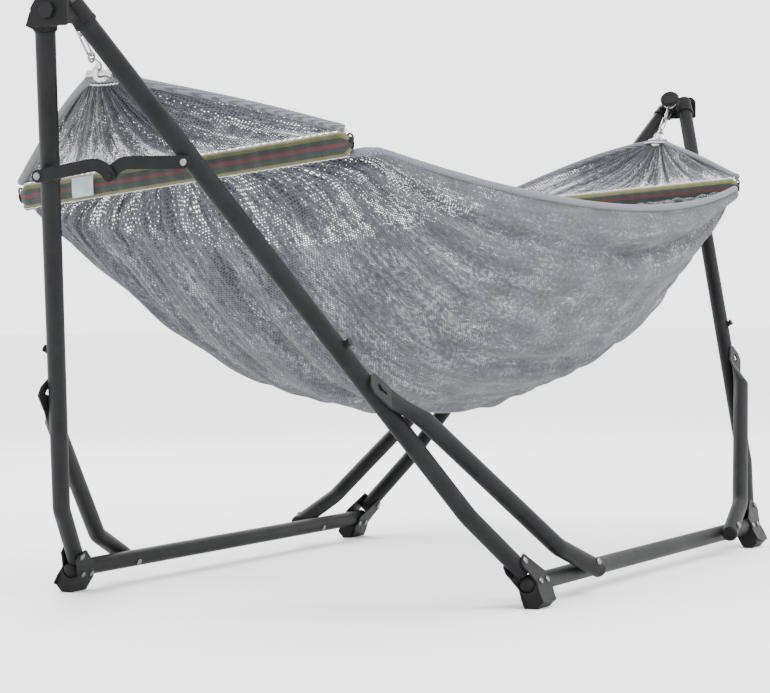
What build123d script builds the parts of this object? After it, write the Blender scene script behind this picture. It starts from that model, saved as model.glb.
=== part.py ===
from build123d import *
from math import atan2, cos, degrees, hypot, pi, radians, sin
import os

# Hammock on a folding steel stand, in millimetres.
# X runs along the two floor rails, Y across the stand, Z up; the floor is Z = 0.
# End 1 is at -X and end 2 at +X; side A is at +Y and side B at -Y.

# ---- steel tube and frame ----
TUBE_D = 32.0
WALL = 1.5
RAIL_GAP = 920.0            # between the axes of the two floor rails
RAIL_Z = 43.0               # height of the rail axes
RAIL_HALF = 612.0           # half the cut length of a rail
APEX_X = 1400.0             # half the distance between the two apexes
LEG_TOP_A = (0.0, 985.0)    # Y and Z where the axis of an A leg ends
LEG_TOP_B = (-42.0, 1003.0)
HINGE_Y = -28.0             # the line on which the two side frames fold
HINGE_Z = 985.0

# ---- side frame, measured along the rail (u) and up the slope from the rail axis (v) ----
FOOT_PIVOT = (634.0, 38.0)
LEG_BEND = (743.8, 137.2)
LEG_BEND_R = 90.0
LEG_TAIL = 16.0             # leg tube below the foot pivot
BRACE_PIVOT_U = 396.0
BRACE_BEND = (506.2, 44.9)
BRACE_BEND_R = 90.0
BRACE_EYE = (920.0, 373.5)
BRACE_TAIL = 26.0
BRACE_N = 33.5              # axis of the brace tube, outside the frame plane
FLAT_LENGTH = 62.0          # flattened end of a brace
FLAT_TAPER = 78.0           # where the tube is pressed down to the flat
FLAT_T = 3.4
FLAT_W = 44.0
STUD_V = 455.0
FOOT_RIVETS_U = (603.0, 573.0)
FOOT_RIVETS_V = -3.0
FOOT_RIVET_HOLE_R = 3.0
SPREADER_V = 780.0

# ---- fasteners ----
BOLT_R = 4.0
HOLE_R = 4.06               # running fit on a BOLT_R bolt
HEAD_R = 6.5
HEAD_T = 3.0
PLATE_T = 3.0
PLATE_N = 16.15             # inner face of a foot plate, outside the tube

# ---- hammock ----
BAR_X = 985.0
BAR_HALF = 316.0
BAR_R = 11.0
TIP_X = 1265.0
TIP_Z = 888.0
BED_T = 12.0

ENDS = (1, 2)
SIDES = ("a", "b")
R = TUBE_D / 2

os.makedirs("parts", exist_ok=True)

TILT = {
    "a": atan2(RAIL_GAP / 2 - LEG_TOP_A[0], LEG_TOP_A[1] - RAIL_Z),
    "b": atan2(RAIL_GAP / 2 + LEG_TOP_B[0], LEG_TOP_B[1] - RAIL_Z),
}
LEG_TOP_V = {
    "a": hypot(RAIL_GAP / 2 - LEG_TOP_A[0], LEG_TOP_A[1] - RAIL_Z),
    "b": hypot(RAIL_GAP / 2 + LEG_TOP_B[0], LEG_TOP_B[1] - RAIL_Z),
}


def side_plane(side):
    """Plane of one side frame: local x along the rail, local y up the slope, local z outwards."""
    tilt = TILT[side]
    if side == "a":
        return Plane(origin=(0, RAIL_GAP / 2, RAIL_Z), x_dir=(-1, 0, 0), z_dir=(0, cos(tilt), sin(tilt)))
    return Plane(origin=(0, -RAIL_GAP / 2, RAIL_Z), x_dir=(1, 0, 0), z_dir=(0, -cos(tilt), sin(tilt)))


def hand(side, end):
    """Sign of local x at one end of a side frame."""
    outward = -1 if end == 1 else 1
    return -outward if side == "a" else outward


def place(side, u, v, n=0.0):
    """Point of a side frame in the object's own frame."""
    return side_plane(side).from_local_coords(Vector(u, v, n))


def along(side, du, dv, dn=0.0):
    """Direction of a side frame in the object's own frame."""
    return (place(side, du, dv, dn) - place(side, 0, 0)).normalized()


def leg_point(v, side):
    """Distance u of the leg axis at slope height v, above the bend."""
    top = LEG_TOP_V[side]
    return LEG_BEND[0] + (APEX_X - LEG_BEND[0]) * (v - LEG_BEND[1]) / (top - LEG_BEND[1])


def cross_plane(side, u, v, n=0.0):
    """Plane at a point of a side frame, facing straight out of the frame."""
    return Plane(origin=place(side, u, v, n), x_dir=along(side, 1, 0), z_dir=along(side, 0, 0, 1))


def section_at(start, towards):
    """Plane across a tube that starts at one point and heads for another."""
    return Plane(origin=start, z_dir=(towards - start).normalized())


def finish(part, name):
    part.label = name
    export_step(part, f"parts/{name}.step")


# ---------------------------------------------------------------- floor rails
for side in SIDES:
    with BuildPart() as rail:
        with BuildSketch(section_at(place(side, -RAIL_HALF, 0), place(side, 0, 0))):
            Circle(R)
            Circle(R - WALL, mode=Mode.SUBTRACT)
        extrude(amount=2 * RAIL_HALF)
        for sign in (-1, 1):
            holes = [(BRACE_PIVOT_U, 0, HOLE_R)]
            holes += [(u, FOOT_RIVETS_V, FOOT_RIVET_HOLE_R) for u in FOOT_RIVETS_U]
            for u, v, radius in holes:
                with BuildSketch(cross_plane(side, sign * u, v, -R - 1)):
                    Circle(radius)
                extrude(amount=TUBE_D + 2, mode=Mode.SUBTRACT)
    finish(rail.part, f"rail_{side}")

# ---------------------------------------------------------------- legs
LEG_DIR = Vector(LEG_BEND[0] - FOOT_PIVOT[0], LEG_BEND[1] - FOOT_PIVOT[1]).normalized()
LEG_START = (FOOT_PIVOT[0] - LEG_TAIL * LEG_DIR.X, FOOT_PIVOT[1] - LEG_TAIL * LEG_DIR.Y)
SLEEVE_R = 18.4
SLEEVE_LENGTH = {"a": 28.0, "b": 46.0}
SLEEVE_CAP = 3.0
LEG_CUT = 7.0               # the tube ends this far short of the apex

for side in SIDES:
    for end in ENDS:
        s = hand(side, end)
        start = place(side, s * LEG_START[0], LEG_START[1])
        bend = place(side, s * LEG_BEND[0], LEG_BEND[1])
        apex = place(side, s * APEX_X, LEG_TOP_V[side])
        top = apex - (apex - bend).normalized() * LEG_CUT
        with BuildPart() as leg:
            with BuildLine() as leg_axis:
                FilletPolyline(start, bend, top, radius=LEG_BEND_R)
            with BuildSketch(section_at(start, bend)):
                Circle(R)
                Circle(R - WALL, mode=Mode.SUBTRACT)
            sweep(path=leg_axis.line)
            with BuildSketch(cross_plane(side, s * FOOT_PIVOT[0], FOOT_PIVOT[1], -R - 1)):
                Circle(HOLE_R)
            extrude(amount=TUBE_D + 2, mode=Mode.SUBTRACT)
            with BuildSketch(cross_plane(side, s * leg_point(STUD_V, side), STUD_V, 0)):
                Circle(HOLE_R)
            extrude(amount=R + 1, mode=Mode.SUBTRACT)
            pin = place(side, s * leg_point(SPREADER_V, side), SPREADER_V)
            with BuildSketch(Plane(origin=pin - Vector(R * 2, 0, 0), z_dir=(1, 0, 0))):
                Circle(HOLE_R)
            extrude(amount=R * 4, mode=Mode.SUBTRACT)
        finish(leg.part, f"leg_{side}{end}")

# Black plugs that close the lower ends of the legs.
PLUG_FLANGE = 5.0
PLUG_SPIGOT = 9.0
for side in SIDES:
    with BuildPart() as leg_plugs:
        for end in ENDS:
            s = hand(side, end)
            start = place(side, s * LEG_START[0], LEG_START[1])
            bend = place(side, s * LEG_BEND[0], LEG_BEND[1])
            seat = section_at(start, bend)
            with BuildSketch(seat):
                Circle(R)
            extrude(amount=-PLUG_FLANGE)
            with BuildSketch(seat):
                Circle(R - WALL - 0.1)
            extrude(amount=PLUG_SPIGOT - 2)
    finish(leg_plugs.part, f"leg_plugs_{side}")

# ---------------------------------------------------------------- feet
PLATE_OUTLINE = ((645, 42), (626, 51), (566, 12), (560, -12), (567, -34), (597, -41), (627, -40), (626, -22),
                 (619, -4), (633, 14), (646, 28))
BLOCK_IN_U = 560.0
BLOCK_OUT_U = 622.0
BLOCK_TOP_V = -8.0
GROUND_LIFT = 0.4           # the plates stay this far off the floor

for side in SIDES:
    tilt = TILT[side]
    for end in ENDS:
        s = hand(side, end)
        with BuildPart() as foot_bracket:
            for n in (PLATE_N, -PLATE_N - PLATE_T):
                with BuildSketch(cross_plane(side, 0, 0, n)) as plate:
                    with BuildLine():
                        Polyline(*[(s * u, v) for u, v in PLATE_OUTLINE], close=True)
                    make_face()
                    fillet(plate.vertices(), radius=4)
                    with Locations((s * FOOT_PIVOT[0], FOOT_PIVOT[1])):
                        Circle(HOLE_R, mode=Mode.SUBTRACT)
                    with Locations(*[(s * u, FOOT_RIVETS_V) for u in FOOT_RIVETS_U]):
                        Circle(FOOT_RIVET_HOLE_R, mode=Mode.SUBTRACT)
                extrude(amount=PLATE_T)
            with BuildSketch(Plane.XY.offset(-100)):
                Rectangle(4 * RAIL_HALF, 2 * RAIL_GAP)
            extrude(amount=100 + GROUND_LIFT, mode=Mode.SUBTRACT)
        finish(foot_bracket.part, f"foot_bracket_{side}{end}")

        # Moulded foot between the plates. One of its two lower faces lies flat on the floor.
        half = PLATE_N - 0.1
        ridge = -RAIL_Z / cos(tilt)
        inner = (-RAIL_Z + half * sin(tilt)) / cos(tilt)
        across = Plane(origin=place(side, s * BLOCK_IN_U, 0), x_dir=along(side, 0, 0, 1), z_dir=(along(side, s, 0)))
        flip = 1 if across.y_dir.Z > 0 else -1
        with BuildPart() as foot_block:
            with BuildSketch(across):
                with BuildLine():
                    Polyline((-half, flip * BLOCK_TOP_V), (-half, flip * inner), (0, flip * ridge),
                             (half, flip * (inner - 1)), (half, flip * BLOCK_TOP_V), close=True)
                make_face()
            extrude(amount=BLOCK_OUT_U - BLOCK_IN_U)
            chamfer(foot_block.edges().filter_by(Axis.X, reverse=True).filter_by(
                lambda edge: edge.center().Z < 8), length=2.5)
            with BuildSketch(section_at(place(side, 0, 0), place(side, s, 0))):
                Circle(R + 0.1)
            extrude(amount=BLOCK_OUT_U + 10, mode=Mode.SUBTRACT)
        finish(foot_block.part, f"foot_block_{side}{end}")

# Domed caps that close the ends of the rails.
CAP_LENGTH = 15.0
CAP_SPIGOT = 5.0
for side in SIDES:
    with BuildPart() as rail_caps:
        for end in ENDS:
            s = hand(side, end)
            seat = Plane(origin=place(side, s * RAIL_HALF, 0), x_dir=along(side, s, 0), z_dir=along(side, 0, 0, 1))
            with BuildSketch(seat):
                with BuildLine():
                    Polyline((2, 0), (-CAP_SPIGOT, 0), (-CAP_SPIGOT, R - WALL - 0.1), (0, R - WALL - 0.1),
                             (0, R), (2, R))
                    EllipticalCenterArc((2, 0), CAP_LENGTH, R, start_angle=0, arc_size=90)
                    Line((2 + CAP_LENGTH, 0), (2, 0))
                make_face()
            revolve(axis=Axis(seat.origin, seat.x_dir))
    finish(rail_caps.part, f"rail_caps_{side}")


def domed_pin(plane, radius, length, head_r, head_t):
    """Shank with a low round head at each end, centred on the plane's origin along its z."""
    with BuildPart() as pin_part:
        with BuildSketch(plane.offset(-length / 2)):
            Circle(radius)
        extrude(amount=length)
        for way in (-1, 1):
            seat = Plane(origin=plane.origin + plane.z_dir * (way * length / 2), x_dir=plane.x_dir,
                         z_dir=plane.z_dir * way)
            with BuildSketch(seat):
                Circle(head_r)
            extrude(amount=head_t)
        chamfer(pin_part.edges().filter_by(GeomType.CIRCLE).group_by(
            lambda edge: round(abs((edge.center() - plane.origin).dot(plane.z_dir)), 2))[-1], length=head_t * 0.45)
    return pin_part.part


# Pivot bolts and rivets of the feet.
RIVET_R = 2.95
RIVET_HEAD_R = 5.6
RIVET_HEAD_T = 2.6
for side in SIDES:
    pieces = []
    for end in ENDS:
        s = hand(side, end)
        grip = 2 * (PLATE_N + PLATE_T)
        pieces.append(domed_pin(cross_plane(side, s * FOOT_PIVOT[0], FOOT_PIVOT[1]), BOLT_R, grip, HEAD_R, HEAD_T))
        for u in FOOT_RIVETS_U:
            pieces.append(domed_pin(cross_plane(side, s * u, FOOT_RIVETS_V), RIVET_R, grip, RIVET_HEAD_R, RIVET_HEAD_T))
    finish(Compound(children=pieces), f"foot_fasteners_{side}")

# ---------------------------------------------------------------- braces
BRACE_DIR = Vector(BRACE_BEND[0] - BRACE_PIVOT_U, BRACE_BEND[1]).normalized()
UPPER = Vector(BRACE_EYE[0] - BRACE_BEND[0], BRACE_EYE[1] - BRACE_BEND[1])
UPPER_DIR = UPPER.normalized()
FLAT_N = R + 0.5            # inner face of the flattened end
FLAT_BELOW_EYE = 34.0
EYE_R = 7.0
SLOT_R = 3.0
SLOT_LENGTH = 15.0

for side in SIDES:
    for end in ENDS:
        s = hand(side, end)

        def brace_place(run, n, s=s, side=side):
            """Point on the upper run of the brace, this far below the eye."""
            return place(side, s * (BRACE_EYE[0] - UPPER_DIR.X * run), BRACE_EYE[1] - UPPER_DIR.Y * run, n)

        low = place(side, s * (BRACE_PIVOT_U - BRACE_TAIL * BRACE_DIR.X), -BRACE_TAIL * BRACE_DIR.Y, BRACE_N)
        bend = place(side, s * BRACE_BEND[0], BRACE_BEND[1], BRACE_N)
        tube_end = brace_place(FLAT_BELOW_EYE + FLAT_TAPER, BRACE_N)
        with BuildPart() as brace:
            with BuildLine() as brace_axis:
                FilletPolyline(low, bend, tube_end, radius=BRACE_BEND_R)
            with BuildSketch(section_at(low, bend)):
                Circle(R)
                Circle(R - WALL, mode=Mode.SUBTRACT)
            sweep(path=brace_axis.line)
            flat_plane = Plane(origin=brace_place(FLAT_BELOW_EYE, FLAT_N + FLAT_T / 2),
                               x_dir=along(side, 0, 0, 1), z_dir=along(side, s * UPPER_DIR.X, UPPER_DIR.Y))
            round_plane = Plane(origin=tube_end, x_dir=along(side, 0, 0, 1), z_dir=flat_plane.z_dir)
            with BuildSketch(round_plane):
                Circle(R)
            with BuildSketch(flat_plane):
                SlotOverall(FLAT_W, FLAT_T, rotation=90)
            loft()
            sheet = Plane(origin=brace_place(0, FLAT_N), x_dir=flat_plane.z_dir, z_dir=along(side, 0, 0, 1))
            with BuildSketch(sheet) as blade:
                with BuildLine():
                    Polyline((-FLAT_BELOW_EYE - 2, FLAT_W / 2), (-FLAT_BELOW_EYE - 2, -FLAT_W / 2),
                             (14, -FLAT_W / 2), (26, -10), (26, 12), (16, FLAT_W / 2), close=True)
                make_face()
                fillet(blade.vertices().group_by(Axis(sheet.origin, sheet.x_dir))[-1], radius=3)
                Circle(EYE_R, mode=Mode.SUBTRACT)
                with Locations((-SLOT_LENGTH / 2 - 2, 0)):
                    SlotOverall(SLOT_LENGTH + 6, 2 * SLOT_R, mode=Mode.SUBTRACT)
            extrude(amount=FLAT_T)
            with BuildSketch(cross_plane(side, s * BRACE_PIVOT_U, 0, BRACE_N - R - 2)):
                Circle(HOLE_R)
            extrude(amount=TUBE_D + 4, mode=Mode.SUBTRACT)
        finish(brace.part, f"brace_{side}{end}")

        with BuildPart() as brace_plug:
            seat = section_at(low, bend)
            with BuildSketch(seat):
                Circle(R)
            extrude(amount=-2)
            with BuildSketch(seat.offset(-2)):
                Circle(R)
            extrude(amount=-5, taper=24)
            with BuildSketch(seat):
                Circle(R - WALL - 0.1)
            extrude(amount=PLUG_SPIGOT)
        finish(brace_plug.part, f"brace_plug_{side}{end}")

# Bolts on which the braces turn, through the rail and the brace.
for side in SIDES:
    pieces = []
    for end in ENDS:
        middle = (BRACE_N - 0.3) / 2 + 0.15
        grip = BRACE_N + 2 * R + 0.6
        plane = cross_plane(side, hand(side, end) * BRACE_PIVOT_U, 0, middle)
        pieces.append(domed_pin(plane, BOLT_R, grip, HEAD_R, HEAD_T))
    finish(Compound(children=pieces), f"brace_bolts_{side}")

# Headed studs on the outer faces of the legs.
STUD_REACH = 25.0
STUD_HEAD_R = 6.5
STUD_HEAD_T = 4.0
STUD_COLLAR_R = 7.0
STUD_COLLAR_T = 2.2
STUD_ROOT = WALL + 4        # from the tube's surface down to the stud's inner end
for side in SIDES:
    with BuildPart() as hook_studs:
        for end in ENDS:
            base = cross_plane(side, hand(side, end) * leg_point(STUD_V, side), STUD_V, R - STUD_ROOT)
            with BuildSketch(base):
                Circle(BOLT_R)
            extrude(amount=STUD_REACH - R + STUD_ROOT)
            with BuildSketch(base.offset(STUD_ROOT + 0.4)):
                Circle(STUD_COLLAR_R)
            extrude(amount=STUD_COLLAR_T)
            with BuildSketch(base.offset(STUD_REACH - R + STUD_ROOT - STUD_HEAD_T + 1)):
                Circle(STUD_HEAD_R)
            extrude(amount=STUD_HEAD_T)
    finish(hook_studs.part, f"hook_studs_{side}")

# ---------------------------------------------------------------- apex hubs
LUG_X = 1425.0              # start of hub A's lug; hub B's plate lies on it
LUG_T = 5.5
LUG_GAP = 0.4
PEG_CENTRE = (1362.0, -22.0, 1003.0)
PEG_R = 6.0
PEG_DISC_R = 22.5
PEG_DISC_T = 4.0
PEG_TILT = 40.0             # the peg points inwards and up by this angle
PEG_LEAN = 6.0
PEG_NECK = 24.0
SADDLE_DEPTH = 16.0
SADDLE_TOP = 23.0
HUB_ARM_LOW = {"a": 26.0, "b": 36.0}
HUB_ARM_HIGH = 4.0
LUG_ROOT = 14.0             # slope distance from the apex to the middle of hub A's lug root
COVER_OUTLINE = ((3, 961), (3, 990), (-8, 1006), (-52, 1012), (-62, 1002), (-62, 961))
COVER_CORNER = 5.0


def peg_head(e):
    """Centre of the inner face of a peg's round head."""
    return Vector(e * PEG_CENTRE[0], PEG_CENTRE[1], PEG_CENTRE[2])


def peg_direction(e):
    return Vector(-e * cos(radians(PEG_TILT)) * cos(radians(PEG_LEAN)), -sin(radians(PEG_LEAN)),
                  sin(radians(PEG_TILT)) * cos(radians(PEG_LEAN)))


for end in ENDS:
    e = -1 if end == 1 else 1
    for side in SIDES:
        s = hand(side, end)
        apex = place(side, s * APEX_X, LEG_TOP_V[side])
        bend = place(side, s * LEG_BEND[0], LEG_BEND[1])
        up_leg = (apex - bend).normalized()
        with BuildPart() as hub:
            with BuildSketch(Plane(origin=apex - up_leg * (SLEEVE_LENGTH[side] + 1), z_dir=up_leg)):
                Circle(SLEEVE_R + 0.8)
            extrude(amount=6)
            with BuildSketch(Plane(origin=apex - up_leg * (SLEEVE_LENGTH[side] - 4), z_dir=up_leg)):
                Circle(SLEEVE_R)
            extrude(amount=SLEEVE_LENGTH[side] - 4 - LEG_CUT + SLEEVE_CAP)
            chamfer(hub.edges().group_by(Axis(apex, up_leg))[-1], length=2)
            # Arm that reaches out from the sleeve to the fold's bolt.
            reach = LUG_X + LUG_T + (LUG_T + LUG_GAP if side == "b" else 0)
            v = LEG_TOP_V[side]
            with BuildSketch(cross_plane(side, 0, 0, -10)):
                with BuildLine():
                    Polyline((s * (APEX_X - 24), v - HUB_ARM_LOW[side]), (s * reach, v - HUB_ARM_LOW[side]),
                             (s * reach, v - HUB_ARM_HIGH), (s * (APEX_X + 4), v - HUB_ARM_HIGH),
                             (s * (APEX_X - 10), v - 16), close=True)
                make_face()
            extrude(amount=15)
            if side == "a":
                heart = place(side, s * APEX_X, v - LUG_ROOT)
                with BuildSketch(Plane.YZ.offset(e * LUG_X)):
                    with BuildLine():
                        Polyline((HINGE_Y - 5, HINGE_Z + 7), (HINGE_Y - 8.5, HINGE_Z), (HINGE_Y - 5, HINGE_Z - 7),
                                 (heart.Y - 8, heart.Z - 12), (heart.Y + 9, heart.Z - 8),
                                 (heart.Y + 2, heart.Z + 12), close=True)
                    make_face()
                extrude(amount=e * LUG_T)
                # Saddle, neck and round head of the peg on which the hammock hangs.
                tip = peg_head(e)
                peg_dir = peg_direction(e)
                rise = (peg_dir - up_leg * peg_dir.dot(up_leg)).normalized()
                offset_to_peg = tip - apex
                aside = offset_to_peg - up_leg * offset_to_peg.dot(up_leg) - rise * offset_to_peg.dot(rise)
                saddle = Plane(origin=apex - up_leg * SADDLE_DEPTH, x_dir=rise, z_dir=up_leg)
                way = 1 if aside.dot(saddle.y_dir) > 0 else -1
                with BuildSketch(saddle):
                    with BuildLine():
                        Polyline((12, -way * 6), (SADDLE_TOP - 3, -way * 6), (SADDLE_TOP, 0),
                                 (SADDLE_TOP, way * (aside.length + 6)), (SADDLE_TOP - 6, way * (aside.length + 6)),
                                 (SADDLE_TOP - 6, way * 12), (12, way * 8), close=True)
                    make_face()
                extrude(amount=SADDLE_DEPTH + 6)
                with BuildSketch(Plane(origin=tip, z_dir=peg_dir)):
                    Circle(PEG_R)
                extrude(amount=-PEG_NECK)
                with BuildSketch(Plane(origin=tip, z_dir=peg_dir)):
                    Circle(PEG_DISC_R)
                extrude(amount=PEG_DISC_T)
            else:
                with BuildSketch(Plane.YZ.offset(e * (LUG_X + LUG_T + LUG_GAP))) as cover:
                    with BuildLine():
                        Polyline(*COVER_OUTLINE, close=True)
                    make_face()
                    fillet(cover.vertices(), radius=COVER_CORNER)
                extrude(amount=e * LUG_T)
            with BuildSketch(Plane(origin=apex - up_leg * (SLEEVE_LENGTH[side] + 20), z_dir=up_leg)):
                Circle(R + 0.1)
            extrude(amount=SLEEVE_LENGTH[side] + 20 - LEG_CUT + 0.1, mode=Mode.SUBTRACT)
            with BuildSketch(Plane.YZ.offset(e * (LUG_X - 8))):
                with Locations((HINGE_Y, HINGE_Z)):
                    Circle(HOLE_R)
            extrude(amount=e * 30, mode=Mode.SUBTRACT)
        finish(hub.part, f"hub_{side}{end}")

# Bolts of the fold: hex head outboard, nut inboard.
NUT_R = 6.4
HEX_HEAD_R = 13.5
HEX_HEAD_T = 6.0
for end in ENDS:
    e = -1 if end == 1 else 1
    with BuildPart() as apex_bolt:
        nut_x = LUG_X - 7
        head_x = LUG_X + 2 * LUG_T + LUG_GAP + 0.2
        for x, radius, length in ((nut_x, NUT_R, 6.8), (head_x, HEX_HEAD_R, HEX_HEAD_T)):
            with BuildSketch(Plane.YZ.offset(e * x)):
                with Locations((HINGE_Y, HINGE_Z)):
                    RegularPolygon(radius, 6)
            extrude(amount=e * length)
        with BuildSketch(Plane.YZ.offset(e * nut_x)):
            with Locations((HINGE_Y, HINGE_Z)):
                Circle(BOLT_R)
        extrude(amount=e * (head_x - nut_x))
    finish(apex_bolt.part, f"apex_bolt_{end}")

    # Domed cap on the round head of the peg.
    with BuildPart() as peg_cap:
        with BuildSketch(Plane(origin=peg_head(e) + peg_direction(e) * (PEG_DISC_T + 0.1), z_dir=peg_direction(e))):
            Circle(PEG_DISC_R)
        extrude(amount=5, taper=35)
    finish(peg_cap.part, f"peg_cap_{end}")

# ---------------------------------------------------------------- spreader arms at the ends
ARM_T = 4.0
ARM_R = 10.5
BOLT_HEAD_R = 6.0
SPACER_GAP = 0.2
ARM_LAYER = {"b": 1237.2, "a": 1241.6}
SPACER_X = 1231.6           # the spacers on the bolts start here, clear of the legs
RIVET = (-15.5, 741.0)
ARM_KNEE = {"a": (20.0, 758.0), "b": (-50.0, 760.5)}


def spreader_pin(side):
    """Y and Z of the bolt that holds a spreader arm to its leg."""
    pin = place(side, 0, SPREADER_V)
    return (pin.Y, pin.Z)


for side in SIDES:
    for end in ENDS:
        e = -1 if end == 1 else 1
        with BuildPart() as spreader_arm:
            pin = Vector(*spreader_pin(side))
            knee = Vector(*ARM_KNEE[side])
            nose = TangentArc(knee, Vector(*RIVET), tangent=knee - pin)
            with BuildSketch(Plane.YZ.offset(e * ARM_LAYER[side])):
                with Locations((pin + knee) / 2):
                    SlotCenterToCenter((knee - pin).length, 2 * ARM_R,
                                       rotation=degrees(atan2(knee.Y - pin.Y, knee.X - pin.X)))
                SlotArc(nose, 2 * ARM_R)
                with Locations(pin):
                    Circle(HOLE_R, mode=Mode.SUBTRACT)
                if side == "a":
                    with Locations(RIVET):
                        Circle(HOLE_R, mode=Mode.SUBTRACT)
            extrude(amount=e * ARM_T)
        finish(spreader_arm.part, f"spreader_arm_{side}{end}")

for side in SIDES:
    pieces = []
    for end in ENDS:
        e = -1 if end == 1 else 1
        inner = leg_point(SPREADER_V, side) - R - 8
        outer = ARM_LAYER[side] + ARM_T + 0.3
        y, z = spreader_pin(side)
        plane = Plane(origin=(e * (inner + outer) / 2, y, z), x_dir=(0, 1, 0), z_dir=(1, 0, 0))
        with BuildPart() as spaced_bolt:
            add(domed_pin(plane, BOLT_R, outer - inner, BOLT_HEAD_R, HEAD_T))
            with BuildSketch(Plane.YZ.offset(e * SPACER_X)):
                with Locations((y, z)):
                    Circle(BOLT_HEAD_R)
            extrude(amount=e * (ARM_LAYER[side] - SPACER_GAP - SPACER_X))
        pieces.append(spaced_bolt.part)
    finish(Compound(children=pieces), f"spreader_bolts_{side}")

for end in ENDS:
    e = -1 if end == 1 else 1
    with BuildPart() as spreader_rivet:
        with BuildSketch(Plane.YZ.offset(e * (ARM_LAYER["a"] + 0.2))):
            with Locations(RIVET):
                Circle(BOLT_R)
        extrude(amount=e * ARM_T)
        with BuildSketch(Plane.YZ.offset(e * (ARM_LAYER["a"] + ARM_T + 0.1))):
            with Locations(RIVET):
                Circle(6.0)
        extrude(amount=e * 2.5, taper=20)
    finish(spreader_rivet.part, f"spreader_rivet_{end}")

# ---------------------------------------------------------------- hammock
BAR_ROLL = {1: -6.4, 2: -4.0}
BAR_CENTRE_Z = {1: 757.0, 2: 752.0}
TIP_Y = -20.0
SLEEVE_W = 30.0
SLEEVE_H = 40.0
WEBBING_HALF = 318.0
BED_HALF = 966.0
RIM_RISE = 84.0
RIM_LOW = 672.0
BED_LOW = 318.0
HALF_AT_BAR = 326.0
HALF_BULGE = 62.0
SAG_POWER = 2.6
TIP_WIDTH = 46.0            # width of the net where its end is gathered
NET_T = 12.0
NET_GAP = 22.0              # from the axis of the spreader bar to the end net


def bed_section(x):
    """Half width, rim height, bottom height and roll of the net across the hammock at x."""
    t = abs(x) / BAR_X
    half = HALF_AT_BAR + HALF_BULGE * (1 - t ** 2)
    rim = RIM_LOW + RIM_RISE * t ** 2
    low = BED_LOW + (RIM_LOW + RIM_RISE - BED_LOW) * t ** SAG_POWER
    roll = BAR_ROLL[1] + (BAR_ROLL[2] - BAR_ROLL[1]) * (x / BAR_X + 1) / 2
    return half, rim, low, roll


def crescent(x, count=12):
    """Closed outline of the net's section at x: the outer skin there and the inner skin back."""
    half, rim, low, roll = bed_section(x)
    outline = []
    for skin, order in ((BED_T / 2, range(count + 1)), (-BED_T / 2, range(count, -1, -1))):
        for step in order:
            angle = -pi / 2 + pi * step / count
            y = (half + skin) * sin(angle)
            drop = (rim - low + skin) * cos(angle)
            z = rim - drop
            c, s = cos(radians(roll)), sin(radians(roll))
            outline.append((y * c - (z - rim) * s, rim + y * s + (z - rim) * c))
    return outline


with BuildPart() as net_bed:
    for x in (-BED_HALF, -880, -740, -540, -280, 0, 280, 540, 740, 880, BED_HALF):
        with BuildSketch(Plane.YZ.offset(x)):
            with BuildLine():
                Polyline(*crescent(x), close=True)
            make_face()
    loft(ruled=True)
finish(net_bed.part, "net_bed")

RING_R = 14.0
RING_WIRE = 2.3
LINK_WIRE = 1.9
LINK_LENGTH = 44.6
LINK_WIDTH = 9.0
PLAY = 0.4
PEG_PLAY = 1.6              # room for the ring to lean on the peg as the hammock swings
ROPE_RING_R = 17.0
ROPE_R = 4.0
HOOK_R = 11.0
EYE_LOOP_R = 7.5
PEG_GRIP = 9.0              # from the peg's head back to the line of pull

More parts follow.
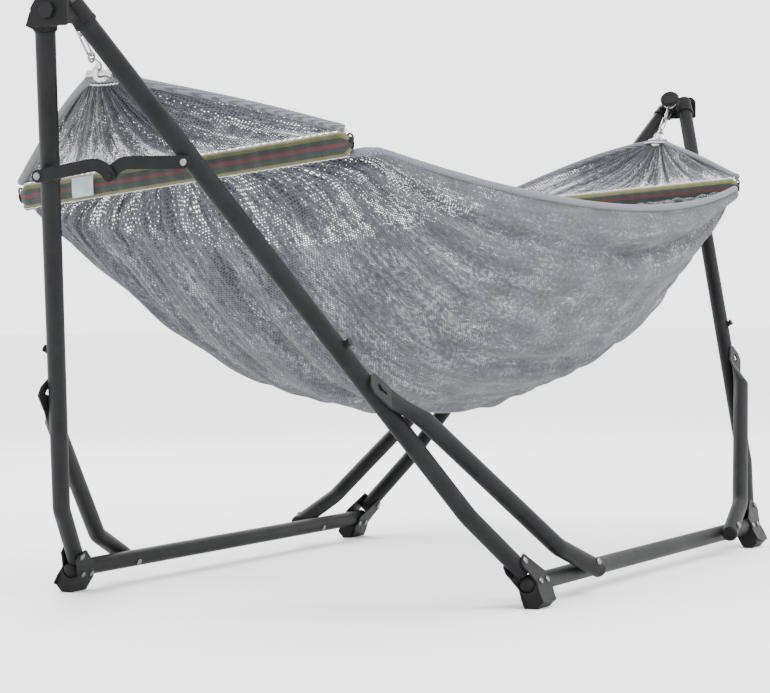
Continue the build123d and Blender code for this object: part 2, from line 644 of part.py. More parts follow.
for end in ENDS:
    e = -1 if end == 1 else 1
    roll = radians(BAR_ROLL[end])
    bar_centre = Vector(e * BAR_X, 0, BAR_CENTRE_Z[end])
    bar_dir = Vector(0, cos(roll), sin(roll))
    bar_plane = Plane(origin=bar_centre, x_dir=(e, 0, 0), z_dir=bar_dir)

    with BuildPart() as spreader_bar:
        with BuildSketch(bar_plane.offset(-BAR_HALF)):
            Circle(BAR_R)
        extrude(amount=2 * BAR_HALF)
    finish(spreader_bar.part, f"spreader_bar_{end}")

    with BuildPart() as webbing:
        with BuildSketch(bar_plane.offset(-WEBBING_HALF)):
            RectangleRounded(SLEEVE_W, SLEEVE_H, 12)
            Circle(BAR_R + 0.3, mode=Mode.SUBTRACT)
        extrude(amount=2 * WEBBING_HALF)
    finish(webbing.part, f"webbing_{end}")

    # Line of pull, from the peg to the tip of the net.
    peg = peg_head(e) - peg_direction(e) * PEG_GRIP
    tip = Vector(e * TIP_X, TIP_Y, TIP_Z)
    pull = (tip - peg).normalized()
    face = (peg_direction(e) - pull * peg_direction(e).dot(pull)).normalized()
    edge = pull.cross(face)

    def ring(run, normal, major, minor, peg=peg, pull=pull):
        """Round wire ring whose centre lies this far along the line of pull."""
        with BuildPart() as ring_part:
            with Locations(Plane(origin=peg + pull * run, z_dir=normal)):
                Torus(major, minor)
        return ring_part.part

    def link(run, normal, peg=peg, pull=pull):
        """Long wire link that starts this far along the line of pull."""
        plane = Plane(origin=peg + pull * run, x_dir=pull, z_dir=normal)
        with BuildPart() as link_part:
            with BuildLine(plane) as outline:
                half = LINK_WIDTH / 2
                straight = LINK_LENGTH - LINK_WIDTH
                Line((half, half), (half + straight, half))
                Line((half + straight, -half), (half, -half))
                CenterArc((half + straight, 0), half, 90, -180)
                CenterArc((half, 0), half, -90, -180)
            start = plane.from_local_coords(Vector(half, half, 0))
            with BuildSketch(Plane(origin=start, z_dir=pull)):
                Circle(LINK_WIRE)
            sweep(path=outline.wires()[0])
        return link_part.part

    ring_run = RING_R - RING_WIRE - PEG_R - PEG_PLAY
    first = ring_run + RING_R - RING_WIRE - LINK_WIRE - PLAY
    second = first + LINK_LENGTH - 2 * LINK_WIRE - PLAY
    eye_start = second + LINK_LENGTH - 2 * LINK_WIRE - PLAY
    hook_centre = eye_start + 2 * (EYE_LOOP_R - LINK_WIRE) - PLAY + HOOK_R
    with BuildPart() as hook:
        hook_plane = Plane(origin=peg + pull * hook_centre, x_dir=pull, z_dir=face)
        with BuildLine(hook_plane) as hook_axis:
            CenterArc((0, 0), HOOK_R, 130, 275)
        with BuildSketch(Plane(origin=hook_axis.line @ 0, z_dir=hook_axis.line % 0)):
            Circle(LINK_WIRE)
        sweep(path=hook_axis.line)
    finish(Compound(children=[ring(ring_run, face, RING_R, RING_WIRE), link(first, edge), link(second, face),
                              ring(eye_start + EYE_LOOP_R, edge, EYE_LOOP_R, LINK_WIRE), hook.part]),
           f"chain_{end}")

    rope_run = hook_centre + HOOK_R - LINK_WIRE - ROPE_R - PLAY + ROPE_RING_R
    finish(ring(rope_run, edge, ROPE_RING_R, ROPE_R), f"tip_rope_{end}")

    start = peg + pull * (rope_run + 6)
    reach = bar_centre - start
    heading = reach.normalized()
    flush = (heading - bar_dir * heading.dot(bar_dir)).normalized()
    with BuildPart() as net_end:
        with BuildSketch(Plane(origin=start, x_dir=(0, 1, 0), z_dir=heading)):
            Rectangle(TIP_WIDTH, NET_T)
        with BuildSketch(Plane(origin=bar_centre - flush * NET_GAP, x_dir=bar_dir, z_dir=flush)):
            Rectangle(2 * WEBBING_HALF - 6, NET_T)
        loft(ruled=True)
    finish(net_end.part, f"net_end_{end}")
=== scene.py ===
import math

import bpy
import numpy as np
from mathutils import Matrix, Vector


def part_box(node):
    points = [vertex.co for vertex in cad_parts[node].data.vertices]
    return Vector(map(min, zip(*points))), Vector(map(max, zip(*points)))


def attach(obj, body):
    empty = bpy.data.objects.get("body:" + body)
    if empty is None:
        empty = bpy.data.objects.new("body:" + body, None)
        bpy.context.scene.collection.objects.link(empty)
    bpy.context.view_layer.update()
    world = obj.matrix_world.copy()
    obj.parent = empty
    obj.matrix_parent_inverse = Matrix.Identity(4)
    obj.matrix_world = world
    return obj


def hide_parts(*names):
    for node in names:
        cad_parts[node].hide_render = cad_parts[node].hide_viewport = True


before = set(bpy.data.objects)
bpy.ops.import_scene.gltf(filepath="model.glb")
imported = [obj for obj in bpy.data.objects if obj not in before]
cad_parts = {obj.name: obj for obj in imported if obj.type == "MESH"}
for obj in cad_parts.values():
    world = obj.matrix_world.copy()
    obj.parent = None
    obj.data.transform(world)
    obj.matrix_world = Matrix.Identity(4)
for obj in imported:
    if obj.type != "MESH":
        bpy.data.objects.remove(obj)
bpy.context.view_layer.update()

SCENE = bpy.context.scene

# ------------------------------------------------------------------ camera
FRAME_W = 770.0
SENSOR = 36.0
FOCAL_PX = 2818.8
YAW, PITCH, ROLL = math.radians(65.23), math.radians(2.25), math.radians(-0.86)
CAMERA_AT = (-5.0954, -2.3323, 0.5527)
SHIFT_X, SHIFT_Y = -0.049, 0.0706

cam_data = bpy.data.cameras.new("camera")
camera = bpy.data.objects.new("camera", cam_data)
SCENE.collection.objects.link(camera)
cam_data.sensor_width = SENSOR
cam_data.lens = FOCAL_PX * SENSOR / FRAME_W
cam_data.shift_x = SHIFT_X
cam_data.shift_y = SHIFT_Y
cam_data.clip_end = 60
look = Vector((math.sin(YAW) * math.cos(PITCH), math.cos(YAW) * math.cos(PITCH), -math.sin(PITCH)))
right = Vector((math.cos(YAW), -math.sin(YAW), 0))
up = right.cross(look)
right_r = right * math.cos(ROLL) + up * math.sin(ROLL)
up_r = up * math.cos(ROLL) - right * math.sin(ROLL)
turned = Matrix((right_r, up_r, -look)).transposed().to_4x4()
camera.matrix_world = Matrix.Translation(CAMERA_AT) @ turned
SCENE.camera = camera

# ------------------------------------------------------------------ floor and light
FLOOR_SIZE = 60
FLOOR_DROP = 0.0005         # keeps the floor clear of the feet
bpy.ops.mesh.primitive_plane_add(size=FLOOR_SIZE, location=(0, 0, -FLOOR_DROP))
floor = bpy.context.object
floor.name = "floor"

world = bpy.data.worlds.new("studio")
SCENE.world = world
world.use_nodes = True
WORLD_STRENGTH = 3.2
sky = world.node_tree.nodes["Background"]
sky.inputs["Color"].default_value = (1, 1, 1, 1)
sky.inputs["Strength"].default_value = WORLD_STRENGTH


def area_light(name, location, target, size, power):
    data = bpy.data.lights.new(name, "AREA")
    data.shape = "DISK"
    data.size = size
    data.energy = power
    lamp = bpy.data.objects.new(name, data)
    SCENE.collection.objects.link(lamp)
    lamp.location = location
    lamp.rotation_mode = "QUATERNION"
    lamp.rotation_quaternion = (Vector(target) - Vector(location)).to_track_quat("-Z", "Y")


area_light("key", (-1.6, -3.2, 3.6), (0, 0, 0.6), 2.2, 230)
area_light("back", (2.8, 2.6, 3.2), (0, 0, 0.6), 2.5, 150)
area_light("side", (-4.2, 1.8, 1.8), (-0.6, 0, 0.6), 1.6, 40)


# ------------------------------------------------------------------ materials
class Nodes:
    """Short hand for building a material's node tree."""

    def __init__(self, name):
        self.material = bpy.data.materials.new(name)
        self.material.use_nodes = True
        self.tree = self.material.node_tree
        self.tree.nodes.clear()
        self.out = self.tree.nodes.new("ShaderNodeOutputMaterial")

    def add(self, kind, **settings):
        node = self.tree.nodes.new("ShaderNode" + kind)
        for key, value in settings.items():
            if key in node.inputs:
                node.inputs[key].default_value = value
            else:
                setattr(node, key, value)
        return node

    def link(self, a, b):
        self.tree.links.new(a, b)

    def put(self, value, socket):
        if hasattr(value, "is_linked"):
            self.link(value, socket)
        else:
            socket.default_value = value

    def math(self, operation, a, b=0.0, c=0.0, clamp=False):
        node = self.add("Math", operation=operation, use_clamp=clamp)
        for value, socket in zip((a, b, c), node.inputs):
            self.put(value, socket)
        return node.outputs[0]

    def coords(self):
        """Object coordinates, in metres, since every mesh is in the row frame."""
        return self.add("TexCoord").outputs["Object"]

    def cloth(self):
        """Flat coordinates of a sheet, in metres."""
        return self.add("UVMap", uv_map="cloth").outputs[0]

    def scaled(self, vector, scale):
        mapping = self.add("Mapping")
        mapping.inputs["Scale"].default_value = scale
        self.link(vector, mapping.inputs["Vector"])
        return mapping.outputs[0]

    def split(self, vector):
        node = self.add("SeparateXYZ")
        self.link(vector, node.inputs[0])
        return node.outputs

    def blend(self, fac, first, second):
        """Mix of two shaders by a constant or a socket."""
        node = self.add("MixShader")
        self.put(fac, node.inputs[0])
        self.link(first, node.inputs[1])
        self.link(second, node.inputs[2])
        return node.outputs[0]

    def noise(self, vector, scale, detail=3.0, roughness=0.5):
        node = self.add("TexNoise", Scale=scale, Detail=detail, Roughness=roughness)
        self.link(vector, node.inputs["Vector"])
        return node.outputs["Fac"]

    def ramp(self, fac, *stops):
        node = self.add("ValToRGB")
        ramp = node.color_ramp
        while len(ramp.elements) < len(stops):
            ramp.elements.new(0.5)
        for element, (position, colour) in zip(ramp.elements, stops):
            element.position = position
            element.color = (*colour, 1) if len(colour) == 3 else colour
        self.link(fac, node.inputs["Fac"])
        return node.outputs["Color"]

    def grey(self, fac, *stops):
        return self.ramp(fac, *[(p, (v, v, v)) for p, v in stops])

    def bump(self, height, strength, distance):
        node = self.add("Bump", Strength=strength, Distance=distance)
        self.link(height, node.inputs["Height"])
        return node.outputs["Normal"]

    def surface(self, colour, roughness, normal=None, **constants):
        shader = self.add("BsdfPrincipled")
        self.put(colour, shader.inputs["Base Color"])
        self.put(roughness, shader.inputs["Roughness"])
        if normal is not None:
            self.link(normal, shader.inputs["Normal"])
        for key, value in constants.items():
            shader.inputs[key.replace("_", " ")].default_value = value
        self.link(shader.outputs[0], self.out.inputs["Surface"])
        return shader


def coated_metal(name, dark, light, rough_low, rough_high, grain):
    """Powder coat or moulded plastic: fine grain, soft blotches and a few rubbed marks."""
    n = Nodes(name)
    place = n.coords()
    blotch = n.noise(place, 14, 4)
    rubs = n.noise(place, 60, 6, 0.7)
    colour = n.ramp(n.math("MULTIPLY_ADD", rubs, 0.35, n.math("MULTIPLY", blotch, 0.65)),
                    (0.35, dark), (0.62, light))
    rough = n.grey(blotch, (0.3, rough_low), (0.7, rough_high))
    grains = n.noise(place, grain, 2)
    n.surface(colour, rough, n.bump(grains, 0.25, 0.0006), Specular_IOR_Level=0.07)
    return n.material


def plated_metal(name, colour_low, colour_high, rough_low, rough_high):
    n = Nodes(name)
    place = n.coords()
    stain = n.noise(place, 90, 4)
    fine = n.noise(place, 900, 2)
    n.surface(n.ramp(stain, (0.3, colour_low), (0.7, colour_high)),
              n.grey(stain, (0.3, rough_low), (0.7, rough_high)), n.bump(fine, 0.15, 0.0003), Metallic=1.0)
    return n.material


FRAME_COAT = coated_metal("frame_coat", (0.006, 0.0062, 0.0066), (0.011, 0.0113, 0.0118), 0.42, 0.55, 1500)
PLATE_COAT = coated_metal("plate_coat", (0.005, 0.0052, 0.0056), (0.010, 0.0103, 0.0108), 0.38, 0.5, 1700)
PLASTIC = coated_metal("moulded_plastic", (0.0045, 0.0046, 0.0048), (0.009, 0.0091, 0.0094), 0.45, 0.6,
                       1100)
BAR_LACQUER = coated_metal("bar_lacquer", (0.003, 0.003, 0.004), (0.008, 0.008, 0.010), 0.3, 0.45, 700)
ZINC = plated_metal("zinc_plate", (0.10, 0.102, 0.105), (0.19, 0.19, 0.19), 0.3, 0.45)
CHROME = plated_metal("chain_chrome", (0.16, 0.16, 0.17), (0.36, 0.36, 0.37), 0.10, 0.24)


MESH_PITCH = (0.0062, 0.0052)   # width and length of one mesh of the net
HOLE_LARGEST = 0.40         # radius of a fully stretched opening, in meshes
HOLE_EDGE = 14.0
GLINT = 0.30                # share of an opening crossed by frayed, light filaments
NET_GLOW = 0.16             # share of an opening filled with pale white, a painted glint


def net_material(name, colour_dark, colour_light):
    """Knitted net. The open attribute says how far its meshes are stretched."""
    n = Nodes(name)
    flat = n.cloth()
    across, along = n.split(flat)[:2]
    row = n.math("DIVIDE", along, MESH_PITCH[1])
    half = n.math("MULTIPLY", n.math("MODULO", n.math("ABSOLUTE", n.math("FLOOR", row)), 2.0), 0.5)
    column = n.math("ADD", n.math("DIVIDE", across, MESH_PITCH[0]), half)
    du = n.math("SUBTRACT", n.math("FRACT", column), 0.5)
    dv = n.math("SUBTRACT", n.math("FRACT", row), 0.5)
    distance = n.math("SQRT", n.math("ADD", n.math("MULTIPLY", du, du), n.math("MULTIPLY", dv, dv)))
    # Stretched patches, streaks along the cloth and single stitches make the openings uneven.
    patches = n.noise(n.scaled(flat, (26, 7, 1)), 1.0, 3, 0.55)
    streaks = n.noise(n.scaled(flat, (95, 5, 1)), 1.0, 4, 0.6)
    grain = n.noise(n.scaled(flat, (170, 60, 1)), 1.0, 2, 0.5)
    uneven = 0.0
    for layer, weight in ((patches, 2.0), (streaks, 1.5), (grain, 2.4)):
        uneven = n.math("MULTIPLY_ADD", n.math("SUBTRACT", layer, 0.5), weight, uneven)
    stretched = n.add("Attribute", attribute_name="open").outputs["Fac"]
    size = n.math("MAXIMUM", n.math("ADD", uneven, stretched), 0.0)
    size = n.math("MULTIPLY", n.math("MINIMUM", size, 1.0), HOLE_LARGEST)
    hole = n.math("MULTIPLY", n.math("SUBTRACT", size, distance), HOLE_EDGE, clamp=True)
    yarn = n.noise(n.coords(), 420, 3)
    # Colour darkens towards each mesh's centre: painted shade for the shadow seen through the openings,
    # with the yarn's own grain on top. The same value drives the loops' relief.
    loops_and_hole_shade = n.math("MULTIPLY_ADD", distance, 0.9, n.math("MULTIPLY", yarn, 0.35))
    colour = n.ramp(n.math("MULTIPLY_ADD", uneven, 0.30, loops_and_hole_shade), (0.22, colour_dark), (0.80, colour_light))
    relief = n.bump(n.math("ADD", loops_and_hole_shade, streaks), 0.7, 0.0018)
    yarn_shader = n.surface(colour, 0.85, relief, Sheen_Weight=0.08, Sheen_Roughness=0.5)
    glow = n.add("BsdfTranslucent")
    n.link(colour, glow.inputs["Color"])
    knit = n.blend(NET_GLOW, yarn_shader.outputs[0], glow.outputs[0])
    # Openings are partly pale diffuse white: a painted glint of light caught in the stretched meshes.
    painted_glint = n.add("BsdfDiffuse", Color=(0.70, 0.71, 0.74, 1))
    gap = n.blend(GLINT, n.add("BsdfTransparent").outputs[0], painted_glint.outputs[0])
    n.link(n.blend(hole, knit, gap), n.out.inputs["Surface"])
    return n.material


OLIVE, GREEN = (0.105, 0.105, 0.012), (0.002, 0.015, 0.011)
RED, DARK = (0.085, 0.004, 0.007), (0.002, 0.003, 0.003)
STRIPES = ((0.0, OLIVE), (0.12, DARK), (0.17, GREEN), (0.39, RED), (0.54, GREEN), (0.75, OLIVE))
RIB_RATE = 2600.0           # radians per metre along the band


def webbing_material():
    """Woven stripes along the band. The flat y is 0 at its lower edge and 1 at the top."""
    n = Nodes("striped_webbing")
    along, height = n.split(n.cloth())[:2]
    ribs = n.math("SINE", n.math("MULTIPLY_ADD", along, RIB_RATE, n.math("MULTIPLY", height, 60.0)))
    fuzz = n.noise(n.coords(), 500, 3)
    edge = n.math("MULTIPLY_ADD", ribs, 0.012, n.math("MULTIPLY", n.math("SUBTRACT", fuzz, 0.5), 0.05))
    ramp = n.ramp(n.math("ADD", height, edge), *STRIPES)
    ramp.node.color_ramp.interpolation = "CONSTANT"
    shade = n.math("MULTIPLY_ADD", ribs, 0.45, 0.55)
    tint = n.add("Mix", data_type="RGBA", blend_type="MULTIPLY")
    tint.inputs["Factor"].default_value = 0.9
    n.link(ramp, tint.inputs["A"])
    n.link(n.grey(shade, (0.0, 0.0), (1.0, 1.0)), tint.inputs["B"])
    n.surface(tint.outputs["Result"], 0.8, n.bump(n.math("ADD", ribs, fuzz), 0.5, 0.0008), Sheen_Weight=0.2)
    return n.material


def cord_material(name, low, high):
    """Twisted cord with a fine lay and loose fibres."""
    n = Nodes(name)
    place = n.coords()
    lay = n.add("TexWave", Scale=160.0, Distortion=1.5, bands_direction="DIAGONAL")
    n.link(place, lay.inputs["Vector"])
    fibre = n.noise(place, 900, 3)
    mixed = n.math("MULTIPLY_ADD", lay.outputs["Fac"], 0.6, n.math("MULTIPLY", fibre, 0.4))
    n.surface(n.ramp(mixed, (0.2, low), (0.8, high)), 0.75, n.bump(mixed, 0.5, 0.0008), Sheen_Weight=0.2)
    return n.material


NET = net_material("net_knit", (0.007, 0.0074, 0.010), (0.088, 0.091, 0.112))
WEBBING = webbing_material()
WHITE_CORD = cord_material("white_cord", (0.40, 0.40, 0.41), (0.66, 0.66, 0.66))
DARK_CORD = cord_material("dark_cord", (0.006, 0.007, 0.015), (0.02, 0.022, 0.035))


def tag_material():
    n = Nodes("blank_care_tag")
    place = n.coords()
    weave = n.add("TexWave", Scale=700.0, Distortion=0.5)
    n.link(place, weave.inputs["Vector"])
    soft = n.noise(place, 60, 3)
    n.surface(n.ramp(soft, (0.3, (0.20, 0.28, 0.28)), (0.7, (0.28, 0.37, 0.37))), 0.7,
              n.bump(weave.outputs["Fac"], 0.3, 0.0003))
    return n.material


def floor_material():
    n = Nodes("pale_floor")
    soft = n.noise(n.coords(), 1.2, 2)
    n.surface(n.grey(soft, (0.3, 0.86), (0.7, 0.9)), 0.7)
    return n.material


floor.data.materials.append(floor_material())

PREFIXES = {
    "rail_a": FRAME_COAT, "rail_b": FRAME_COAT, "leg_plugs": PLASTIC, "leg_": FRAME_COAT,
    "brace_bolts": ZINC, "brace_plug": PLASTIC, "brace_": FRAME_COAT, "rail_caps": PLASTIC,
    "foot_bracket": PLATE_COAT, "foot_block": PLASTIC, "foot_fasteners": ZINC, "hook_studs": PLATE_COAT,
    "hub_": PLASTIC, "apex_bolt": PLATE_COAT, "peg_cap": PLASTIC, "spreader_bolts": ZINC,
    "spreader_rivet": PLATE_COAT, "spreader_arm": PLATE_COAT, "spreader_bar": BAR_LACQUER, "chain": CHROME,
}
for name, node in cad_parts.items():
    for prefix, material in PREFIXES.items():
        if name.startswith(prefix):
            node.data.materials.clear()
            node.data.materials.append(material)
            break

# ------------------------------------------------------------------ the hammock's shape, as in the frame
BAR_X = 0.985
BAR_ROLL = {-1: math.radians(-6.4), 1: math.radians(-4.0)}
BAR_Z = {-1: 0.757, 1: 0.752}
WEBBING_HALF = 0.318
SEWN_HALF = WEBBING_HALF - 0.004    # half width of the net where it is sewn to the band
FLAT_HALF = 0.62            # half width of the net laid flat
FLAT_LENGTH = 2.24
RING_STEPS = 28


def sign_of(end):
    return -1 if end == 1 else 1


def bar_frame(end):
    """Middle of a spreader bar, its direction, the way out of the hammock and the way up."""
    e = sign_of(end)
    bar = np.array((e * BAR_X, 0.0, BAR_Z[e]))
    bar_dir = np.array((0, math.cos(BAR_ROLL[e]), math.sin(BAR_ROLL[e])))
    out = np.array((float(e), 0, 0))
    rise = np.cross(out, bar_dir)
    return bar, bar_dir, out, rise if rise[2] > 0 else -rise


def lattice(rows, cols):
    """Grid of s from 0 to 1 along the rows and a from -1 to 1 across them."""
    return np.meshgrid(np.linspace(0, 1, rows), np.linspace(-1, 1, cols), indexing="ij")


def smooth(lo, hi, value):
    t = np.clip((value - lo) / (hi - lo), 0, 1)
    return t * t * (3 - 2 * t)


def waves(a, t, counts, seed):
    """Sum of soft folds that run along t, with phases that wander."""
    draw = np.random.default_rng(seed)
    total = np.zeros_like(a)
    for count, weight in counts:
        phase, bend, wander = draw.uniform(0, 1, 3)
        warp = phase + 0.10 * np.sin(2.2 * t + 6 * wander) + 0.12 * bend * np.sin(5 * a + 3 * t)
        crest = np.sin(2 * np.pi * (count * a / 2 + warp))
        swell = 0.75 + 0.25 * np.sin(4 * a + 9 * bend + 2 * t)
        total += weight * swell * crest
    return total


def grid_mesh(name, points, uvs, opening, material):
    """Smooth-shaded sheet from a grid of points, with flat UVs in metres and the open attribute."""
    rows, cols = points.shape[:2]
    index = np.arange(rows * cols).reshape(rows, cols)
    faces = np.stack([index[:-1, :-1], index[1:, :-1], index[1:, 1:], index[:-1, 1:]], -1).reshape(-1, 4)
    mesh = bpy.data.meshes.new(name)
    mesh.from_pydata(points.reshape(-1, 3).tolist(), [], faces.tolist())
    layer = mesh.uv_layers.new(name="cloth")
    flat = uvs.reshape(-1, 2)[faces.reshape(-1)]
    layer.data.foreach_set("uv", flat.astype(np.float32).ravel())
    attribute = mesh.attributes.new("open", "FLOAT", "POINT")
    attribute.data.foreach_set("value", opening.reshape(-1).astype(np.float32))
    mesh.polygons.foreach_set("use_smooth", [True] * len(mesh.polygons))
    mesh.materials.append(material)
    piece = bpy.data.objects.new(name, mesh)
    SCENE.collection.objects.link(piece)
    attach(piece, "hammock")
    return piece


def surface_normals(points):
    du = np.gradient(points, axis=1)
    dv = np.gradient(points, axis=0)
    normal = np.cross(du, dv)
    return normal / np.maximum(np.linalg.norm(normal, axis=-1, keepdims=True), 1e-9)


# ------------------------------------------------------------------ the bed of the net
def bed_surface(T, A):
    """Smooth trough of the net, T along it and A across it, both from -1 to 1."""
    X = T * (BAR_X - 0.012)
    away = np.abs(X) / BAR_X
    half = 0.326 + 0.062 * (1 - away ** 2)
    rim = 0.672 + 0.084 * away ** 2
    low = 0.318 + 0.438 * away ** 2.6
    roll = BAR_ROLL[-1] + (BAR_ROLL[1] - BAR_ROLL[-1]) * (X / BAR_X + 1) / 2
    angle = A * np.pi / 2
    # Close to the bars the net flattens on to the sewn edge of the webbing.
    near = smooth(0.93, 1.0, np.abs(T))
    bar_z = np.where(T < 0, BAR_Z[-1], BAR_Z[1]) - 0.016
    y = half * np.sin(angle) * (1 - near) + near * A * SEWN_HALF
    z = (rim - (rim - low) * np.cos(angle)) * (1 - near) + near * bar_z
    centre = rim * (1 - near) + near * bar_z
    c, s = np.cos(roll), np.sin(roll)
    return np.stack([X, y * c - (z - centre) * s, centre + y * s + (z - centre) * c], -1)


def make_bed():
    rows, cols = 260, 460
    T, A = np.meshgrid(np.linspace(-1, 1, rows), np.linspace(-1, 1, cols), indexing="ij")
    points = bed_surface(T, A)
    normal = surface_normals(points)
    inside = np.array((0.0, 0.0, 1.2)) - points
    normal = normal * np.sign((normal * inside).sum(-1, keepdims=True))
    away = 1 - np.abs(T)
    gathered = np.exp(-away / 0.28)
    middle = 1 - gathered
    from_bar = smooth(0.0, 0.03, away)
    pleats = waves(A, T, ((22, 0.55), (31, 0.35), (43, 0.22)), 3) * 0.0088 * gathered * from_bar
    creases = waves(A, T, ((58, 0.6), (77, 0.4)), 17) * 0.0016 * from_bar * (0.35 + 0.65 * gathered)
    broad = waves(A, T, ((9, 0.6), (14, 0.5), (19, 0.35)), 11) * 0.0125 * middle
    flutter = waves(T * 1.3, A, ((7, 0.5), (11, 0.3)), 5) * 0.004 * middle
    to_rim = np.abs(A)
    edge_calm = 1 - 0.7 * smooth(0.9, 1.0, to_rim)
    # Slack hem: a wide soft fold that stands out along each rim, with a crease under it.
    hem = np.exp(-((to_rim - 0.93) / 0.042) ** 2) * (0.012 + 0.005 * np.sin(5 * T + 2))
    crease = np.exp(-((to_rim - 0.835) / 0.030) ** 2) * (0.013 + 0.005 * np.sin(7 * T))
    rise = (pleats + creases + broad + flutter) * edge_calm + (crease - hem) * smooth(0.0, 0.12, away)
    points = points + normal * rise[..., None]
    uv = np.stack([A * FLAT_HALF, T * FLAT_LENGTH / 2], -1)
    crest = smooth(-0.006, 0.008, rise)
    opening = 0.10 + 0.42 * crest * gathered + 0.14 * crest
    opening += 0.30 * np.exp(-((T + 0.55) / 0.22) ** 2) * np.exp(-((A + 0.42) / 0.30) ** 2)
    opening *= 1 - 0.8 * smooth(0.88, 0.97, to_rim)
    piece = grid_mesh("net_bed_cloth", points, uv, opening, NET)
    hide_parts("net_bed")
    return points


bed_points = make_bed()


# ------------------------------------------------------------------ tubes that follow a line
def tube(name, line, radius, material, sides=10, closed=False, twist=0.0, lobes=0):
    """Round or lobed tube round a line of points, as a mesh that swings with the hammock."""
    line = np.asarray(line, float)
    count = len(line)
    ahead = np.roll(line, -1, 0) - np.roll(line, 1, 0)
    if not closed:
        ahead[0] = line[1] - line[0]
        ahead[-1] = line[-1] - line[-2]
    ahead /= np.linalg.norm(ahead, axis=1, keepdims=True)
    side = np.cross(ahead, (0.13, 0.29, 0.95))
    side /= np.linalg.norm(side, axis=1, keepdims=True)
    over = np.cross(side, ahead)
    run = np.concatenate([[0], np.cumsum(np.linalg.norm(np.diff(line, axis=0), axis=1))])
    verts = []
    for k in range(count):
        for j in range(sides):
            angle = 2 * np.pi * j / sides
            swell = 1 + (0.16 * np.cos(lobes * angle - twist * run[k]) if lobes else 0)
            verts.append(line[k] + radius * swell * (np.cos(angle) * side[k] + np.sin(angle) * over[k]))
    faces = []
    last = count if closed else count - 1
    for k in range(last):
        for j in range(sides):
            a, b = k * sides + j, k * sides + (j + 1) % sides
            c, d = ((k + 1) % count) * sides + (j + 1) % sides, ((k + 1) % count) * sides + j
            faces.append((a, b, c, d))
    if not closed:
        faces.append(tuple(range(sides))[::-1])
        faces.append(tuple(range((count - 1) * sides, count * sides)))
    mesh = bpy.data.meshes.new(name)
    mesh.from_pydata([tuple(v) for v in verts], [], faces)
    mesh.polygons.foreach_set("use_smooth", [True] * len(mesh.polygons))
    mesh.materials.append(material)
    piece = bpy.data.objects.new(name, mesh)
    SCENE.collection.objects.link(piece)
    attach(piece, "hammock")
    return piece


# ------------------------------------------------------------------ the ends of the net
TIP_HALF = 0.021
ACROSS = np.array((0, 1.0, 0.0))
SELVAGES = (("a", -1), ("b", 0))


def tip_of(end):
    """Centre of the rope ring that gathers the net at one end, from its CAD node."""
    low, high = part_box(f"tip_rope_{end}")
    return np.array((low + high) / 2)


def make_end(end):
    """Net between a rope ring and its bar. Returns the way out of the sheet and the way to the bar."""
    ring = tip_of(end)
    bar, bar_dir = bar_frame(end)[:2]
    heading = (bar - ring) / np.linalg.norm(bar - ring)
    start = ring + heading * 0.006
    stop = bar - heading * 0.012 + np.array((0, 0, 0.017))
    length = np.linalg.norm(stop - start)
    S, A = lattice(150, 190)
    width = TIP_HALF + (SEWN_HALF - TIP_HALF) * S ** 1.04
    across = ACROSS * (1 - S[..., None]) + bar_dir * S[..., None]
    across /= np.linalg.norm(across, axis=-1, keepdims=True)
    points = start + (stop - start) * S[..., None] + across * (width * A)[..., None]
    normal = np.cross(heading, ACROSS)
    normal /= np.linalg.norm(normal)
    if normal[2] < 0:
        normal = -normal
    # The sheet sags between its edges, and pleats fan out from the rope.
    cup = np.sin(np.pi * S) * (0.010 * np.abs(A) ** 3 - 0.030 * (1 - A ** 2))
    pleats = waves(A, S, ((17, 0.7), (27, 0.45), (9, 0.5)), 21 + end)
    depth = 0.0042 + 0.0075 * np.sin(np.pi * np.clip(S * 1.1, 0, 1)) ** 0.7 - 0.002 * np.exp(-S / 0.22)
    rise = pleats * depth * smooth(0.0, 0.05, 1 - S) * smooth(-0.02, 0.10, S)
    points = points + normal * (cup + rise)[..., None]
    uv = np.stack([A * FLAT_HALF, S * length * 1.05 + 3.0 * end], -1)
    opening = 0.10 + 0.48 * smooth(0.40, 0.85, S) + 0.22 * smooth(-0.004, 0.006, rise)
    opening *= (1 - smooth(0.88, 0.96, np.abs(A))) * smooth(0.12, 0.4, S)
    piece = grid_mesh(f"net_end_cloth_{end}", points, uv, opening, NET)
    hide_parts(f"net_end_{end}")
    for side, column in SELVAGES:
        tube(f"net_selvage_{side}{end}", points[::3, column], 0.0068, NET_DENSE)
    return normal, heading


def plain_net_material():
    n = Nodes("net_selvage")
    place = n.coords()
    yarn = n.noise(place, 420, 3)
    rows = n.add("TexWave", Scale=110.0, Distortion=2.0, bands_direction="DIAGONAL")
    n.link(place, rows.inputs["Vector"])
    mixed = n.math("MULTIPLY_ADD", rows.outputs["Fac"], 0.5, n.math("MULTIPLY", yarn, 0.5))
    n.surface(n.ramp(mixed, (0.2, (0.035, 0.037, 0.046)), (0.8, (0.125, 0.128, 0.15))), 0.85,
              n.bump(mixed, 0.6, 0.0012), Sheen_Weight=0.08)
    return n.material


NET_DENSE = plain_net_material()
ends = {end: make_end(end) for end in (1, 2)}

for side, column in SELVAGES:
    tube(f"net_bed_selvage_{side}", bed_points[::4, column], 0.0072, NET_DENSE)


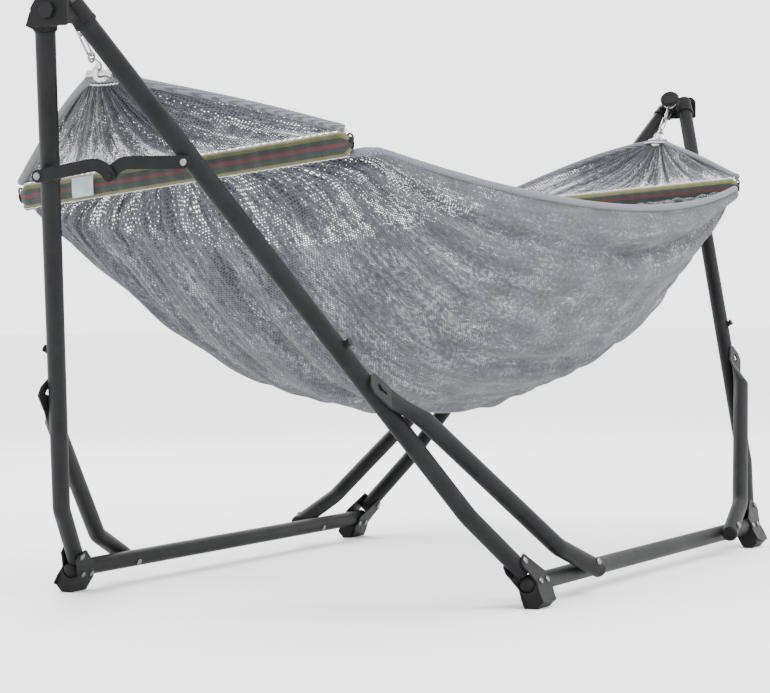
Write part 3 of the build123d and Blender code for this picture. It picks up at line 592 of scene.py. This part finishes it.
# ------------------------------------------------------------------ webbing on the bars
def make_webbing(end):
    bar, bar_dir, out, rise = bar_frame(end)
    K, TH = np.meshgrid(np.linspace(-1, 1, 160), np.linspace(0, 2 * np.pi, 49), indexing="ij")
    pinch = 1 - 0.50 * smooth(0.955, 1.0, np.abs(K))
    ripple = 0.0007 * np.sin(K * 61) + 0.0006 * np.sin(K * 23 + 1)
    # A flat teardrop: a full front and back, drawn together at the sewn top and bottom edges.
    height = np.cos(TH) * 0.0205 * pinch
    bulge = np.sign(np.sin(TH)) * np.abs(np.sin(TH)) ** 0.8 * (0.9 + 0.1 * np.cos(TH))
    depth = bulge * 0.0147 * (0.6 + 0.4 * pinch) + ripple
    points = (bar + K[..., None] * WEBBING_HALF * bar_dir + height[..., None] * rise
              + depth[..., None] * out)
    uv = np.stack([K * WEBBING_HALF, (np.cos(TH) + 1) / 2], -1)
    piece = grid_mesh(f"webbing_band_{end}", points, uv, np.zeros_like(K), WEBBING)
    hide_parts(f"webbing_{end}")
    # White wavy edging sewn along the top, and a thin line of stitches below.
    run = np.linspace(-1, 1, 260)[:, None]
    wave = np.sin(run * 150 + 0.7 * np.sin(run * 31))
    seam = bar + run * (WEBBING_HALF - 0.006) * bar_dir
    top = seam + (0.0213 + 0.0012 * wave) * rise + 0.0012 * np.cos(run * 97) * out
    tube(f"edge_cord_{end}", top, 0.0016, WHITE_CORD, sides=6)
    low = seam - (0.0210 + 0.0005 * wave) * rise + 0.002 * out
    tube(f"edge_stitch_{end}", low, 0.0007, WHITE_CORD, sides=6)
    # Small dark cord loop that closes the band over each end of the bar.
    turn = np.linspace(0, 2 * np.pi, RING_STEPS, endpoint=False)[:, None]
    for side, way in (("a", 1), ("b", -1)):
        centre = bar + bar_dir * way * (WEBBING_HALF - 0.001) + 0.009 * rise
        loop = centre + np.cos(turn) * 0.0045 * bar_dir + np.sin(turn) * (0.0065 * rise + 0.002 * out)
        tube(f"bar_tie_{side}{end}", loop, 0.0019, DARK_CORD, sides=7, closed=True)


for end in (1, 2):
    make_webbing(end)


# ------------------------------------------------------------------ the gathered tips
LOOP_R = 0.0168             # rope loop, from its centre to the hook
LOOP_HALF = 0.011           # and to its sides


def make_tip(end):
    normal, heading = ends[end]
    ring = tip_of(end)
    face = np.cross(heading, ACROSS)
    face /= np.linalg.norm(face)
    turn = np.linspace(0, 2 * np.pi, 72, endpoint=False)[:, None]
    # The loop passes through the hook along the hook's axis and spreads sideways inside the casing.
    spread = smooth(0.08, 0.75, (1 + np.cos(turn)) / 2) * np.pi / 2
    outwards = np.cos(spread) * face + np.sin(spread) * ACROSS
    reach = LOOP_R + (LOOP_HALF - LOOP_R) * spread / (np.pi / 2)
    loop = ring + LOOP_R * np.cos(turn) * heading + reach * np.sin(turn) * outwards
    piece = tube(f"tip_rope_loop_{end}", loop, 0.0031, WHITE_CORD, sides=12, closed=True,
                 lobes=3, twist=2 * np.pi * 3 * 6 / (2 * np.pi * LOOP_R))
    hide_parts(f"tip_rope_{end}")
    # Casing of folded net over the rope, open at both sides.
    S, A = lattice(26, 40)
    flare = np.abs(S - 0.5) * 2
    angle = (S - 0.5) * 2 * np.pi * 0.86
    width = TIP_HALF + 0.003 + 0.004 * flare
    fold = 0.0012 * np.sin(A * 34) * flare
    thickness = np.sin(angle) * (0.0058 + 0.002 * (1 - A ** 2)) + fold
    points = (ring - heading * 0.004 + (width * A)[..., None] * ACROSS
              + ((1 - np.cos(angle)) * 0.0105)[..., None] * heading + thickness[..., None] * normal)
    uv = np.stack([A * 0.1, S * 0.06], -1)
    casing = grid_mesh(f"tip_casing_{end}", points, uv, np.zeros_like(S), NET_DENSE)
    run = np.linspace(-1, 1, 60)[:, None]
    # A row of stitches on each face of the casing.
    for number, way in enumerate((1, -1)):
        line = (ring + heading * (0.017 + 0.0012 * np.sin(run * 26)) + ACROSS * run * (TIP_HALF + 0.0045)
                + normal * way * (0.0048 + 0.0030 * np.cos(run * 1.2)))
        tube(f"tip_stitch_{end}_{number}", line, 0.0013, WHITE_CORD, sides=6)
    # White turns of cord across the mouth of the casing.
    for number, shift in enumerate((-0.0035, 0.0, 0.0035)):
        line = (ring + heading * (-0.0085 + 0.004 * run ** 2) + ACROSS * run * (TIP_HALF + 0.002)
                + normal * (shift + 0.0008 * np.sin(run * 8 + number)))
        tube(f"tip_wrap_{end}_{number}", line, 0.0020, WHITE_CORD, sides=8, lobes=3, twist=900)


for end in (1, 2):
    make_tip(end)


# ------------------------------------------------------------------ blank care tag on the near band
TAG_Y = 0.183               # where the tag hangs, along the bar from its middle


def make_tag():
    bar, bar_dir, out, rise = bar_frame(1)
    S, A = lattice(14, 14)
    aside = TAG_Y + 0.0205 * A + 0.0035 * S
    drop = 0.0165 - 0.034 * S
    bulge = 0.0155 + 0.0015 * np.sin(S * 3.0) + 0.0012 * np.sin(A * 2 + S)
    points = bar + bar_dir * aside[..., None] + rise * drop[..., None] + out * bulge[..., None]
    uv = np.stack([A, S], -1)
    piece = grid_mesh("care_tag", points, uv, np.zeros_like(S), tag_material())


make_tag()
